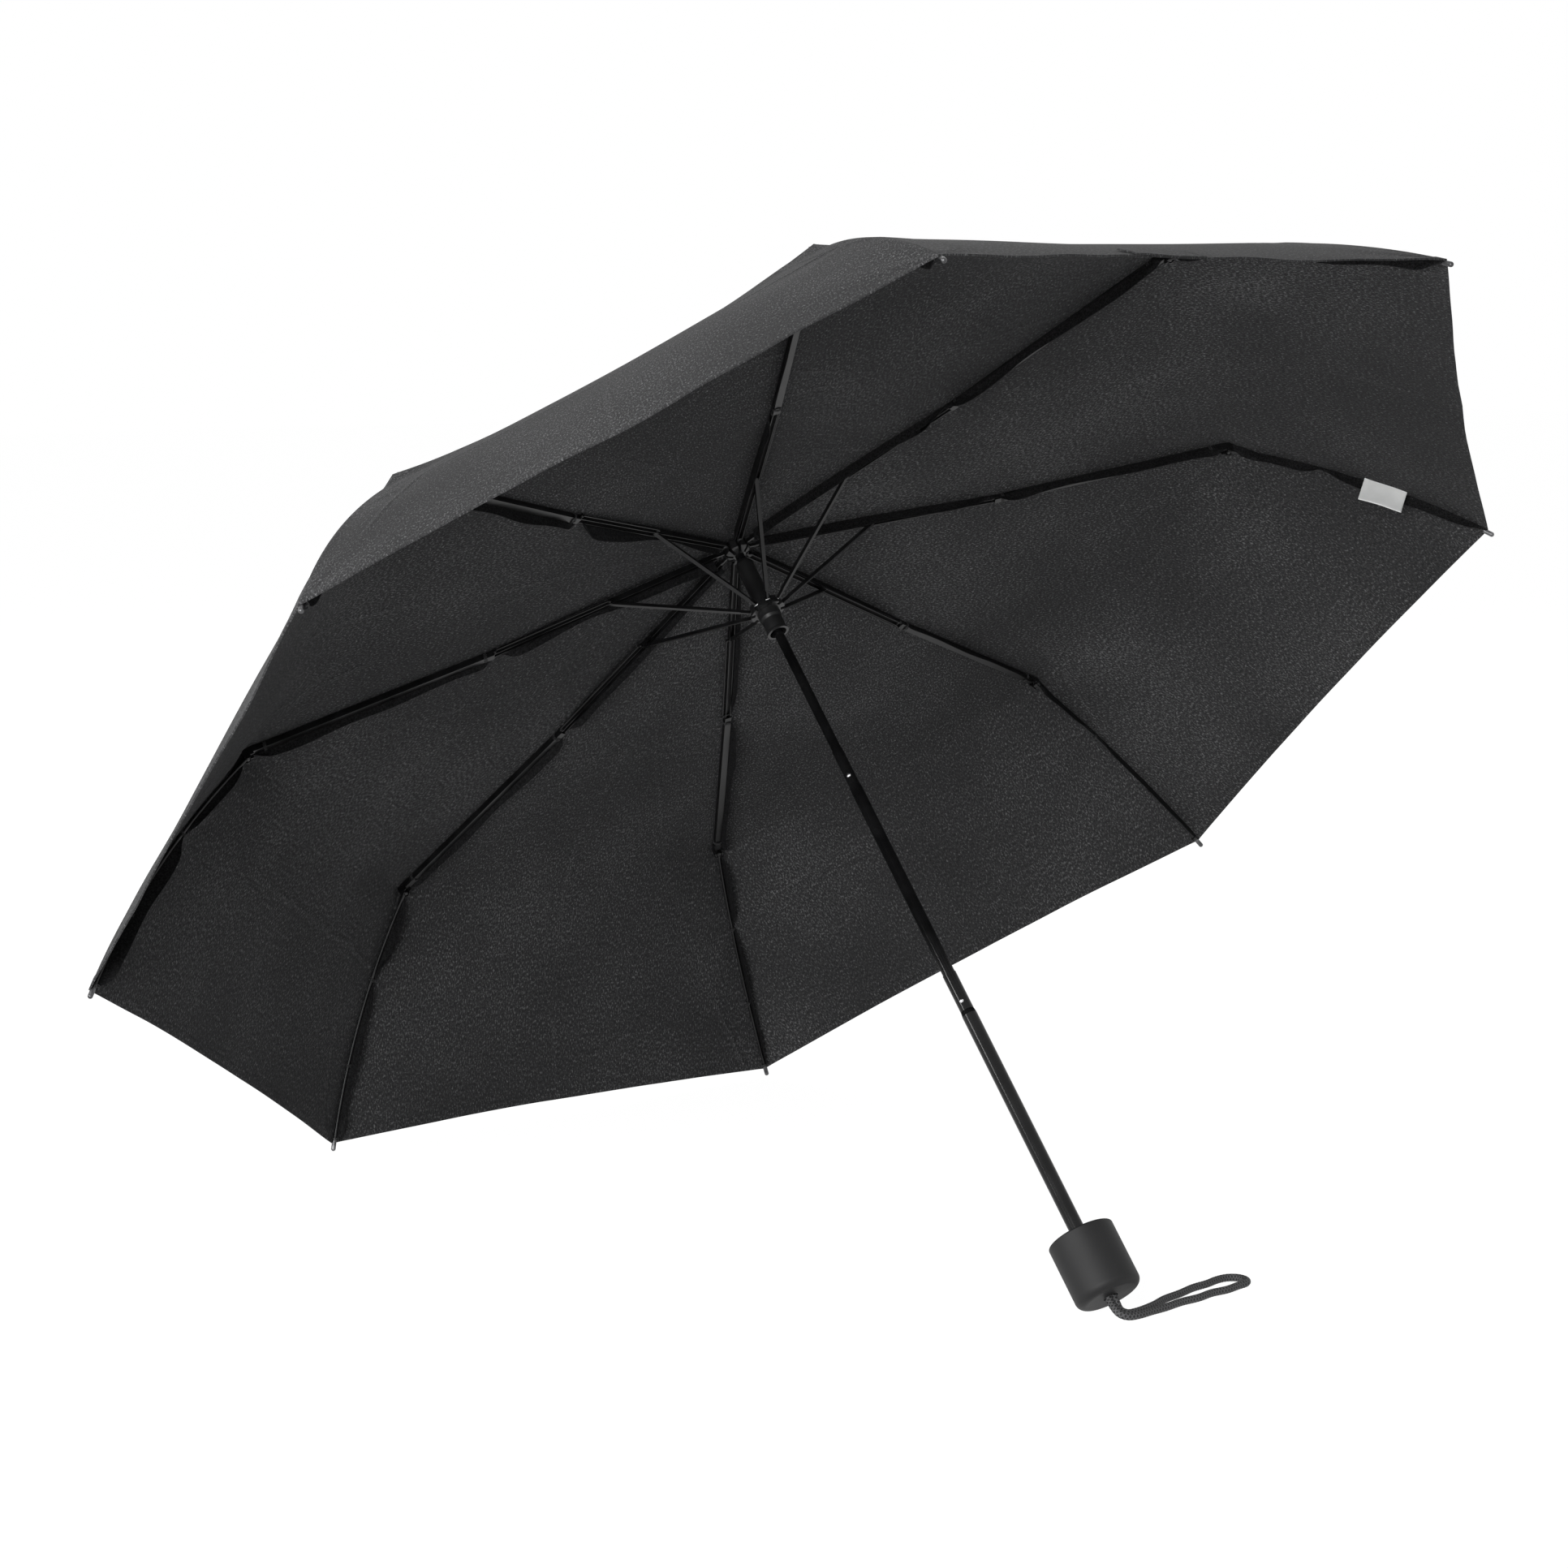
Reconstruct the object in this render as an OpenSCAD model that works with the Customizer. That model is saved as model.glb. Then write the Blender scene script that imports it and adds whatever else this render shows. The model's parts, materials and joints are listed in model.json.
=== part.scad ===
// Folding umbrella with a three-section shaft and eight ribs that fold twice.
// It lies open on a level surface, on two rib tips and the rim of its grip.
// The origin is the middle of the grip, +Z is up, and +X runs along the
// surface from the canopy to the grip. Each piece is drawn with its shaft
// upright on Z, and lying() then leans it over. Lengths are in millimetres.

/* [Grip] */
// Diameter of the grip
grip_d = 40.5; // [36:0.5:46]
// Length of the grip along the shaft
grip_len = 40.5; // [36:0.5:41]
// Rounding of the grip's lower rim
grip_round = 5; // [2:0.5:8]
// Rounding of the grip's upper rim
grip_edge = 1.2; // [0.5:0.1:3]
// Diameter of the hole that the wrist loop goes into
loop_hole_d = 9; // [8.4:0.2:12]
// Depth of the hole that the wrist loop goes into
loop_hole_depth = 10; // [8:0.5:12]
// Plastic left between the loop's hole and the shaft's socket
grip_floor = 4; // [2:0.5:8]

/* [Shaft] */
// Outer diameter of the lower, thickest tube
lower_d = 9.4; // [9.3:0.1:9.6]
// Outer diameter of the middle tube
middle_d = 7.8; // [7.6:0.1:8.4]
// Outer diameter of the upper, thinnest tube
upper_d = 6.2; // [5.8:0.1:6.6]
// Wall of all three tubes
tube_wall = 0.35; // [0.3:0.05:0.4]
// Length of the lower tube that shows above the grip
lower_show = 180; // [170:1:200]
// Length of the middle tube that shows when it is pulled out
middle_show = 166.5; // [150:0.5:168]
// Length from the middle tube's top to the crown when it is pulled out
upper_show = 160.5; // [150:0.5:175]
// Length of the narrowed neck at the top of a tube
neck_len = 26; // [24:1:32]
// Length of a tube that stays inside the next one
lap_len = 34; // [30:1:40]
// Radial clearance of a tube in the neck that guides it
tube_gap = 0.05; // [0.03:0.01:0.1]
// Distance of a catch below the top of its neck
catch_drop = 20; // [17:0.5:21]
// Diameter of a catch's button
catch_d = 2.8; // [2.4:0.1:3.2]
// Height by which a catch's button stands out of the neck
catch_proud = 0.8; // [0.5:0.1:1.1]

/* [Crown and runner] */
// Diameter of the crown
crown_d = 17; // [16.4:0.2:20]
// Height of the crown
crown_h = 8; // [7:0.5:10]
// Radius of the wire ring that the top ribs hinge on
crown_ring_r = 6.5; // [6.3:0.1:6.7]
// Diameter of the two ring wires
ring_wire = 1; // [0.8:0.1:1.2]
// Outer diameter of the lock sleeve
sleeve_d = 12; // [11.8:0.1:12.2]
// Distance of the sleeve's shoulder below the crown's ring
sleeve_drop = 10; // [8:0.5:12]
// Length of the lock sleeve
sleeve_len = 44; // [42:0.5:46]
// Wall of the lock sleeve
sleeve_wall = 0.95; // [0.8:0.05:1]
// Drop from the crown's ring to the runner's ring when open
runner_drop = 48; // [46:0.5:49]
// Diameter of the runner's slotted collar
collar_d = 23; // [22:0.5:26]
// Radius of the wire ring in the collar
runner_ring_r = 10.4; // [10.3:0.1:10.6]
// Bore of the runner's skirt
skirt_bore_d = 11.2; // [11:0.1:11.6]
// Wall of the runner's skirt
skirt_wall = 1.1; // [0.9:0.1:1.2]
// Length of the skirt below the runner's ring
skirt_len = 20; // [17:0.5:20.5]
// Height of the black cap on top of the canopy
cap_h = 9; // [8:0.5:14]
// Diameter of the black cap on top of the canopy
cap_d = 15; // [13:0.5:20]

/* [Ribs] */
// Length of a top rib, from the crown's ring to its outer pivot
top_len = 169.3; // [165:0.5:172]
// Fall of the top ribs below level, in degrees
top_fall = 7.1; // [6:0.1:8]
// Length of a middle rib between its pivots
mid_len = 168.9; // [160:0.5:172]
// Fall of the middle ribs below level, in degrees
mid_fall = 5; // [4:0.1:6]
// Length of an end rib along its bow
end_len = 183.5; // [175:0.5:190]
// Fall of an end rib where it leaves its pivot, in degrees
end_fall = 30.4; // [28:0.2:33]
// Bend of an end rib over its length, in degrees
end_bend = 22; // [16:1:26]
// Distance of the stretcher's pivot along the top rib
strut_at = 87; // [84:0.5:90]
// Width of a top rib's channel
top_w = 3.6; // [3.5:0.1:3.8]
// Depth of a top rib's channel
top_h = 3; // [2.8:0.1:3.2]
// Width of a stretcher's channel
strut_w = 2.4; // [2.2:0.1:2.4]
// Depth of a stretcher's channel
strut_h = 2.2; // [2:0.1:2.4]
// Wall of the ribs' channels
rib_wall = 0.4; // [0.35:0.05:0.4]
// Diameter of an end rib's rod
end_d = 2; // [1.8:0.1:2.2]
// Drop of the end rib's pivot below the middle of the middle rib
knee_drop = 4; // [3.9:0.1:4.6]
// Diameter of a rivet's shank
rivet_d = 1.2; // [1:0.1:1.4]
// Diameter of the thin link wires beside the ribs
link_d = 1; // [0.8:0.1:1.1]
// Diameter of a rib's tip cap
tip_d = 3.2; // [3:0.1:4]
// Length of a rib's tip cap
tip_len = 9; // [8:0.5:12]

/* [Canopy] */
// Thickness of the canopy's shell
cloth = 0.8; // [0.6:0.1:1]
// Room between the ribs and the canopy
cloth_gap = 0.6; // [0.4:0.1:1]
// Inward curve of the hem at the middle of a gore
hem_dip = 4; // [4:1:16]
// Inward sag of a gore between its ribs
gore_sag = 5; // [0:1:8]
// Width of the closing strap
strap_w = 18; // [14:1:24]
// Length of the closing strap
strap_len = 50; // [40:1:70]
// Thickness of the closing strap
strap_t = 0.8; // [0.6:0.1:1.2]
// Width of the sewn-in tag
tag_w = 27; // [20:1:32]
// Length of the sewn-in tag
tag_len = 18; // [12:1:24]

/* [Wrist loop] */
// Diameter of the wrist loop's cord
cord_d = 3.6; // [3:0.1:4]

/* [Hidden] */
RIBS = 8;
$fn = 48;
eps = 0.01;                 // how far a cut runs past a face
pin_gap = 0.06;             // radial clearance of a rivet in the piece that turns on it
wire_gap = 0.25;            // radial clearance of a rib's eye on a curved ring wire
rest_gap = 0.3;             // clearance between neighbours that don't touch
steel = [0.05, 0.05, 0.055];
plastic = [0.09, 0.09, 0.095];
bright = [0.75, 0.75, 0.77];
fabric = [0.07, 0.07, 0.075];

// Heights along the upright shaft, from the middle of the grip
grip_top = grip_len / 2;
lower_top = grip_top + lower_show;
middle_top = lower_top + middle_show;
ring_z = middle_top + upper_show;           // the crown's wire ring
socket_z = -grip_top + loop_hole_depth + grip_floor;
sleeve_top = ring_z - sleeve_drop;
sleeve_end = sleeve_top - sleeve_len;
runner_z = ring_z - runner_drop;            // the runner's wire ring
crown_low = ring_z - crown_h / 2;
crown_high = ring_z + crown_h / 2;

// Pivots in the plane of one rib: [distance from the shaft's axis, height]
function along(from, fall, len) = [from[0] + len * cos(fall), from[1] - len * sin(fall)];
hinge_at = [crown_ring_r, ring_z];
strut_pivot = along(hinge_at, top_fall, strut_at);
knee_1 = along(hinge_at, top_fall, top_len);
knee_2 = along(along(knee_1, mid_fall, mid_len), mid_fall + 90, knee_drop);
end_r = end_len * 180 / (PI * end_bend);    // radius of the end rib's bow
function bow(share) = let (a = share * end_bend)
    along(along(knee_2, end_fall, end_r * sin(a)), end_fall + 90, end_r * (1 - cos(a)));
tip_at = bow(1);
runner_at = [runner_ring_r, runner_z];
strut_run = runner_at - strut_pivot;
strut_len = norm(strut_run);
strut_turn = atan2(strut_run[1], strut_run[0]);

// Lean of the shaft, at which the two lowest rib tips and the grip's rim touch one level
rim_at = [-(grip_d / 2 - grip_round), -grip_top + grip_round];
low_tip = [-tip_at[0] * cos(180 / RIBS), tip_at[1]];
foot_run = [rim_at[0] - low_tip[0], low_tip[1] - rim_at[1]];
lean = atan2(foot_run[1], foot_run[0]) + asin((grip_round - tip_d / 2) / norm(foot_run));
floor_z = rim_at[0] * sin(lean) + rim_at[1] * cos(lean) - grip_round;

module lying() {
    rotate([0, -lean, 0]) children();
}

// Places a piece drawn in the XZ plane, X outwards, at rib k of RIBS
module at_rib(k) {
    lying() rotate([0, 0, (k - 0.5) * 360 / RIBS]) children();
}

// Moves to a pivot of the rib's plane and points X down by fall degrees
module at_pivot(p, fall) {
    translate([p[0], 0, p[1]]) rotate([0, fall, 0]) children();
}

// A cylinder across the rib's plane, between two places along Y
module across(d, y0, y1) {
    translate([0, y1, 0]) rotate([90, 0, 0]) cylinder(d = d, h = y1 - y0);
}

// A U channel along X: open towards -Z where down is true, else towards +Z
module channel(x0, x1, w, low, high, down) {
    difference() {
        translate([x0, -w / 2, low]) cube([x1 - x0, w, high - low]);
        translate([x0 - 1, -w / 2 + rib_wall, down ? low - 1 : low + rib_wall])
            cube([x1 - x0 + 2, w - 2 * rib_wall, high - low - rib_wall + 1]);
    }
}

/* ---- Grip and wrist loop ---- */

module grip_profile() {
    r = grip_d / 2;
    union() {
        translate([0, -grip_top]) square([r - grip_round, grip_len]);
        translate([0, -grip_top + grip_round]) square([r, grip_len - grip_round - grip_edge]);
        translate([0, grip_top - grip_edge - eps]) square([r - grip_edge, grip_edge + eps]);
        translate([r - grip_round, -grip_top + grip_round]) intersection() {
            circle(r = grip_round);
            translate([0, -grip_round]) square([grip_round, grip_round]);
        }
        translate([r - grip_edge, grip_top - grip_edge]) intersection() {
            circle(r = grip_edge);
            square([grip_edge, grip_edge]);
        }
    }
}

module grip() {
    color(plastic) lying() difference() {
        rotate_extrude($fn = 96) grip_profile();
        translate([0, 0, socket_z]) cylinder(d = lower_d + 2 * tube_gap, h = grip_len);
        translate([0, 0, -grip_top - 1]) cylinder(d = loop_hole_d, h = loop_hole_depth + 1);
    }
}

// Route of the loop's cord: out of the hole, down onto the surface, round and back.
// The hole's mouth and the surface set the ends and the height, and the rest is chosen.
strand = cord_d / 2 + 0.15;                 // each strand's distance from the hole's axis
lay_z = floor_z + cord_d / 2 + 0.1;
function leaned(p) = [p[0] * cos(lean) - p[2] * sin(lean), p[1], p[0] * sin(lean) + p[2] * cos(lean)];
loop_lead = [for (h = [3.8, 0, -3.5]) leaned([0, strand, -grip_top + h])];
loop_back = [for (h = [-3.5, 0, 3.8]) leaned([0, -strand, -grip_top + h])];
loop_floor = [
    [18.5, 3, lay_z + 2.2], [20.5, 6.5, lay_z + 0.3], [20, 12, lay_z], [16.5, 20, lay_z], [13, 30, lay_z],
    [10.5, 42, lay_z], [8.5, 56, lay_z], [6.5, 70, lay_z], [4.5, 84, lay_z], [3.5, 96, lay_z],
    [4.5, 105, lay_z], [9, 111, lay_z], [15, 111.5, lay_z], [19.5, 107, lay_z], [21.5, 99, lay_z],
    [22, 88, lay_z], [22.5, 74, lay_z], [23, 60, lay_z], [24, 46, lay_z], [25.5, 32, lay_z],
    [27, 20, lay_z], [27.5, 10, lay_z], [26, 2.5, lay_z + 0.3], [22, -1.5, lay_z + 2.2]
];
loop_route = concat(loop_lead, loop_floor, loop_back);

module tube_along(route, d, sides = 8) {
    n = len(route);
    function way(i) = let (v = route[min(i + 1, n - 1)] - route[max(i - 1, 0)]) v / norm(v);
    function side(i) = let (t = way(i), s = cross(t, [0.3, 0.1, 1])) s / norm(s);
    points = [for (i = [0 : n - 1], j = [0 : sides - 1])
        let (t = way(i), s = side(i), u = cross(t, s), a = 360 * j / sides)
            route[i] + d / 2 * (cos(a) * s + sin(a) * u)];
    walls = [for (i = [0 : n - 2], j = [0 : sides - 1])
        let (k = (j + 1) % sides)
            [i * sides + j, (i + 1) * sides + j, (i + 1) * sides + k, i * sides + k]];
    ends = [[for (j = [0 : sides - 1]) j], [for (j = [sides - 1 : -1 : 0]) (n - 1) * sides + j]];
    polyhedron(points, concat(walls, ends));
}

module wrist_loop() {
    color(fabric) tube_along(loop_route, cord_d);
}

module loop_knot() {
    color(fabric) lying() translate([0, 0, -grip_top + 3.8 + rest_gap])
        cylinder(d = loop_hole_d - 2 * rest_gap, h = loop_hole_depth - 3.8 - 2 * rest_gap);
}

/* ---- Shaft ---- */

// Tube from z0 to z1, whose top is swaged to a neck that guides the next tube
module necked_tube(z0, z1, d, next_d) {
    bore = next_d + 2 * tube_gap;
    swage = 3;                              // length of the taper below the neck
    difference() {
        rotate_extrude() polygon([
            [bore / 2, z1], [bore / 2 + tube_wall, z1], [bore / 2 + tube_wall, z1 - neck_len],
            [d / 2, z1 - neck_len - swage], [d / 2, z0], [d / 2 - tube_wall, z0],
            [d / 2 - tube_wall, z1 - neck_len - swage], [bore / 2, z1 - neck_len]
        ]);
        catch_hole(z1);
    }
}

module catch_hole(z1) {
    translate([0, 0, z1 - catch_drop]) rotate([0, 90, catch_turn])
        cylinder(d = catch_d + 2 * tube_gap, h = lower_d);
}
catch_turn = -50;                           // side of the shaft that the catches are on

// Spring catch in a tube of diameter d: a domed button on a folded leaf spring
module catch(z1, d) {
    inner = d / 2 - tube_wall;              // radius of the bore that the spring sits in
    face = d / 2 + tube_gap + tube_wall;    // radius of the neck's outside
    leaf = 0.4;
    leaf_w = 2.2;
    root = -inner + 0.7;
    front = 0.6;
    fold = 11.5;                            // height of the fold above the button
    r = catch_d / 2;
    color(bright) lying() translate([0, 0, z1 - catch_drop]) rotate([0, 0, catch_turn]) union() {
        rotate([0, 90, 0]) rotate_extrude() polygon([
            [0, front + leaf / 2], [r, front + leaf / 2], [r, face], [r * 0.8, face + catch_proud * 0.6],
            [r * 0.4, face + catch_proud * 0.93], [0, face + catch_proud]
        ]);
        translate([front, -leaf_w / 2, -r]) cube([leaf, leaf_w, fold + r]);
        translate([root, -leaf_w / 2, -r]) cube([leaf, leaf_w, fold + r]);
        translate([root, -leaf_w / 2, fold - leaf]) cube([front - root + leaf, leaf_w, leaf]);
    }
}

module lower_tube() {
    color(steel) lying() necked_tube(socket_z, lower_top, lower_d, middle_d);
}

module middle_tube() {
    color(steel) lying() difference() {
        necked_tube(lower_top - lap_len, middle_top, middle_d, upper_d);
        catch_hole(lower_top);
    }
}

module upper_tube() {
    color(steel) lying() difference() {
        translate([0, 0, middle_top - lap_len])
            cylinder(d = upper_d, h = crown_high - middle_top + lap_len);
        translate([0, 0, middle_top - lap_len - 1])
            cylinder(d = upper_d - 2 * tube_wall, h = crown_high - middle_top + lap_len + 2);
        catch_hole(middle_top);
    }
}

module lower_catch() {
    catch(lower_top, middle_d);
}

module upper_catch() {
    catch(middle_top, upper_d);
}

/* ---- Crown, lock sleeve and runner ---- */

module lock_sleeve() {
    shoulder = 3;                           // length of the bevel at the top
    stop = 4;                               // thickness of the closed end that grips the tube
    r = sleeve_d / 2;
    grip_r = upper_d / 2 + tube_gap;
    color(plastic) lying() rotate_extrude() polygon([
        [grip_r, sleeve_top], [grip_r + 0.9, sleeve_top], [r, sleeve_top - shoulder], [r, sleeve_end + 1],
        [r - 0.4, sleeve_end], [r - sleeve_wall, sleeve_end], [r - sleeve_wall, sleeve_top - shoulder - stop],
        [grip_r, sleeve_top - shoulder - stop]
    ]);
}

// Disc with a slot for each rib, cut from the rim in to floor_r
module slotted(r, floor_r, slot_w, z0, z1) {
    difference() {
        children();
        for (k = [1 : RIBS]) rotate([0, 0, (k - 0.5) * 360 / RIBS])
            translate([floor_r, -slot_w / 2, z0 - 1]) cube([r, slot_w, z1 - z0 + 2]);
    }
}

// Groove that the ring wire lies in
module ring_groove(r) {
    rotate_extrude() translate([r, 0]) circle(d = ring_wire + 2 * tube_gap, $fn = 24);
}

module crown() {
    slot_w = 2;
    edge = 1;
    r = crown_d / 2;
    color(plastic) lying() difference() {
        slotted(r, upper_d / 2 + 1.2, slot_w, crown_low - 1.5, ring_z + 2.4)
            rotate_extrude() polygon([
                [0, crown_low - 1.5], [upper_d / 2 + 1, crown_low - 1.5], [r - edge, crown_low],
                [r, crown_low + edge], [r, ring_z + 2.4], [0, ring_z + 2.4]
            ]);
        translate([0, 0, crown_low - 2]) cylinder(d = upper_d + 2 * tube_gap, h = crown_h + 4);
        translate([0, 0, ring_z]) ring_groove(crown_ring_r);
    }
}

module ring(r, z) {
    color(bright) lying() translate([0, 0, z]) rotate_extrude() translate([r, 0]) circle(d = ring_wire, $fn = 24);
}

module crown_ring() {
    ring(crown_ring_r, ring_z);
}

// Domed cap on top of the canopy, with a plug that sits in the upper tube
module top_cap() {
    plug_d = upper_d - 2 * tube_wall - 2 * tube_gap;
    base = crown_high + cap_lift;
    brim = 1.2;
    color(plastic) lying() union() {
        translate([0, 0, base]) cylinder(d = cap_d, h = brim);
        translate([0, 0, base + brim]) intersection() {
            cylinder(d1 = cap_d, d2 = cap_d * 0.62, h = cap_h - brim);
            translate([0, 0, cap_h - brim - cap_d / 2]) sphere(d = cap_d * 1.12);
        }
        translate([0, 0, base - 12]) cylinder(d = plug_d, h = 12 + eps);
    }
}
cap_lift = cloth + cloth_gap + 0.6;         // the cap's underside above the upper tube's end

module runner() {
    slot_w = 3;
    ring_h = 2.2;                           // collar's height on each side of its ring
    flange = 1.4;
    bore_r = skirt_bore_d / 2;
    skirt_r = bore_r + skirt_wall;
    hub_r = sleeve_d / 2 + rest_gap;        // bore that slips over the lock sleeve
    collar_r = collar_d / 2;
    low = runner_z - skirt_len;
    nest = runner_z - 9;                    // depth that the sleeve reaches into
    color(plastic) lying() difference() {
        slotted(collar_r, runner_ring_r - strut_h / 2 - 0.6, slot_w, runner_z - ring_h - flange, runner_z + ring_h)
            rotate_extrude() polygon([
                [bore_r, low], [skirt_r + 0.6, low], [skirt_r + 0.6, low + 1.2], [skirt_r, low + 1.8],
                [skirt_r, nest - 1], [hub_r + 1.1, nest + 1], [hub_r + 1.1, runner_z - ring_h - flange],
                [collar_r, runner_z - ring_h - flange], [collar_r, runner_z - ring_h],
                [collar_r - 0.8, runner_z + ring_h], [hub_r + 0.9, runner_z + ring_h + 1.2],
                [hub_r, runner_z + ring_h + 1.2], [hub_r, nest], [bore_r, nest]
            ]);
        translate([0, 0, runner_z]) ring_groove(runner_ring_r);
    }
}

module runner_ring() {
    ring(runner_ring_r, runner_z);
}

/* ---- Ribs ---- */

mid_w = top_w + 2 * rib_wall + 0.2;         // middle rib's channel straddles the top rib
head_t = 0.45;                              // thickness of a rivet's head
link_y = mid_w / 2 + head_t + 0.2 + link_d / 2;   // side of a rib that a link wire lies on
mid_low = -top_h / 2 - rest_gap - rib_wall - 0.1;
ear_t = 0.6;                                // thickness of the knee clip's two ears
clip_out = 2;                               // reach of the knee clip past its pivot

// Rivet through walls w apart, with a head at each side
module rivet(w, reach = 0) {
    across(rivet_d, -w / 2 - 0.1, w / 2 + 0.1 + reach);
    across(rivet_d + 1, -w / 2 - head_t, -w / 2 + eps);
    across(rivet_d + 1, w / 2 - eps, w / 2 + head_t);
}

// Link wire beside a rib, fast on the rivet at x0 and turning on the one at x1
module link_wire(x0, x1, y, z) {
    eye = rivet_d + 2 * pin_gap + 1;
    difference() {
        union() {
            translate([x0, y, z]) rotate([0, 90, 0]) cylinder(d = link_d, h = x1 - x0, $fn = 16);
            for (x = [x0, x1]) translate([x, 0, 0]) across(eye, y - link_d / 2, y + link_d / 2);
        }
        translate([x1, 0, 0]) across(rivet_d + 2 * pin_gap, y - link_d / 2 - 1, y + link_d / 2 + 1);
    }
}

module top_rib(k) {
    tongue_w = 1.4;
    tongue_end = 6.6;
    color(steel) at_rib(k) at_pivot(hinge_at, top_fall) {
        difference() {
            union() {
                channel(tongue_end, top_len, top_w, -top_h / 2, top_h / 2, true);
                difference() {
                    translate([top_len, 0, 0]) across(top_h, -top_w / 2, top_w / 2);
                    translate([top_len - 5, -top_w / 2 + rib_wall, -top_h])
                        cube([10, top_w - 2 * rib_wall, 2 * top_h]);
                }
                across(2 * (ring_wire / 2 + wire_gap) + 1.2, -tongue_w / 2, tongue_w / 2);
                translate([0.5, -tongue_w / 2, -1.1]) cube([tongue_end + 1.5, tongue_w, 2.2]);
                translate([tongue_end, -top_w / 2, -1.1]) cube([1.6, top_w, 2.2]);
            }
            across(ring_wire + 2 * wire_gap, -top_w, top_w);
            translate([top_len, 0, 0]) across(rivet_d + 2 * pin_gap, -top_w, top_w);
        }
        translate([strut_at, 0, 0]) rivet(top_w, link_y + link_d / 2 - top_w / 2 + 0.1);
        link_wire(strut_at, top_len, link_y, 0);
    }
}

module stretcher(k) {
    tongue_w = 1.4;
    reach = strut_len - ring_wire / 2 - rest_gap;
    color(steel) at_rib(k) translate([strut_pivot[0], 0, strut_pivot[1]]) rotate([0, -strut_turn, 0])
        difference() {
            union() {
                channel(0, reach - 6, strut_w, -strut_h / 2, strut_h / 2, true);
                across(strut_h, -strut_w / 2, strut_w / 2);
                translate([reach - 8, -tongue_w / 2, -strut_h / 2]) cube([8, tongue_w, strut_h]);
            }
            across(rivet_d + 2 * pin_gap, -strut_w, strut_w);
        }
}

module middle_rib(k) {
    clip_in = 9;
    gap_w = mid_w - 2 * ear_t + 0.6;
    color(steel) at_rib(k) at_pivot(knee_1, mid_fall) {
        channel(1, mid_len - 2.6, mid_w, mid_low, top_h / 2, false);
        difference() {
            union() {
                translate([0, -mid_w / 2, -top_h / 2]) cube([2, mid_w, top_h]);
                across(top_h, -mid_w / 2, mid_w / 2);
            }
            translate([-5, -mid_w / 2 + rib_wall, -top_h]) cube([10, mid_w - 2 * rib_wall, 2 * top_h]);
        }
        rivet(mid_w, link_y + link_d / 2 - mid_w / 2 + 0.1);
        // clip that carries the end rib's pivot under the channel's end
        difference() {
            union() {
                translate([mid_len - clip_in, -mid_w / 2 - ear_t, -1.6])
                    cube([clip_in + clip_out, mid_w + 2 * ear_t, top_h / 2 + 1.6]);
                translate([mid_len - clip_in / 2, -mid_w / 2 - ear_t, -knee_drop])
                    cube([clip_in / 2 + clip_out, mid_w + 2 * ear_t, knee_drop]);
                translate([mid_len, 0, -knee_drop]) across(2 * clip_out, -mid_w / 2 - ear_t, mid_w / 2 + ear_t);
            }
            translate([mid_len - clip_in - 1, -mid_w / 2 + eps, -2 * knee_drop])
                cube([clip_in + clip_out + 3, mid_w - 2 * eps, 3 * knee_drop]);
        }
        translate([mid_len, 0, -knee_drop]) rivet(mid_w + 2 * ear_t);
    }
}

module end_rib(k) {
    eye_w = 2.6;
    lug = rivet_d + 2.2;
    color(steel) at_rib(k) at_pivot(knee_2, end_fall) {
        difference() {
            union() {
                translate([0, 0, -end_r]) rotate([90, 0, 0]) rotate([0, 0, 90 - end_bend])
                    rotate_extrude(angle = end_bend, $fn = 180) translate([end_r, 0]) circle(d = end_d, $fn = 20);
                across(lug, -eye_w / 2, eye_w / 2);
            }
            across(rivet_d + 2 * pin_gap, -eye_w, eye_w);
        }
    }
}

// Rounded cap on the rib's end, which the cloth's corner is sewn to
module tip_cap(k) {
    cover = tip_len - tip_d / 2;            // length of the cap's straight part
    color(bright) at_rib(k) at_pivot(tip_at, end_fall + end_bend) difference() {
        union() {
            sphere(d = tip_d, $fn = 32);
            translate([-cover, 0, 0]) rotate([0, 90, 0]) cylinder(d = tip_d, h = cover);
        }
        translate([-cover - 1, 0, 0]) rotate([0, 90, 0])
            cylinder(d = end_d + 2 * tube_gap + 0.5, h = cover + 1.1);
    }
}

/* ---- Canopy ---- */

// Line of the cloth over a rib, by share of the way from the crown to the tip
seam_lift = top_h / 2 + cloth_gap;
seam_start = [upper_d / 2 + 0.4, crown_high + cloth_gap];
seam_rib = along(along(knee_1, mid_fall, 0), mid_fall - 90, seam_lift);
seam_knee = along(along(knee_1, mid_fall, mid_len + clip_out + 0.6), mid_fall - 90, seam_lift);
function over_end(share) = along(bow(share), end_fall + share * end_bend - 90, end_d / 2 + cloth_gap + 0.3);
seam_line = concat(
    [seam_start],
    [for (s = [0.12, 0.4, 0.7]) let (p = seam_start + (seam_rib - seam_start) * s) [p[0], p[1] + 1.2 * sin(180 * s)]],
    [seam_rib], [(seam_rib + seam_knee) / 2], [seam_knee],
    [for (s = [0.12, 0.3, 0.5, 0.7, 0.86, 0.975]) over_end(s)]
);

// A point of the cloth in gore g, which lies between ribs g + 1 and g + 2: over the
// rib's seam point p, share of the way out to the hem, v of the way across, lifted
function cloth_spot(g, p, share, v, lift) = let (
        a0 = (g + 0.5) * 360 / RIBS, a1 = (g + 1.5) * 360 / RIBS,
        x = p[0] * (cos(a0) * (1 - v) + cos(a1) * v), y = p[0] * (sin(a0) * (1 - v) + sin(a1) * v),
        dip = 4 * v * (1 - v), shrink = 1 - hem_dip / tip_at[0] * dip * pow(share, 6))
    [x * shrink, y * shrink, p[1] - gore_sag * dip * sin(180 * min(share, 1)) + lift];

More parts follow.
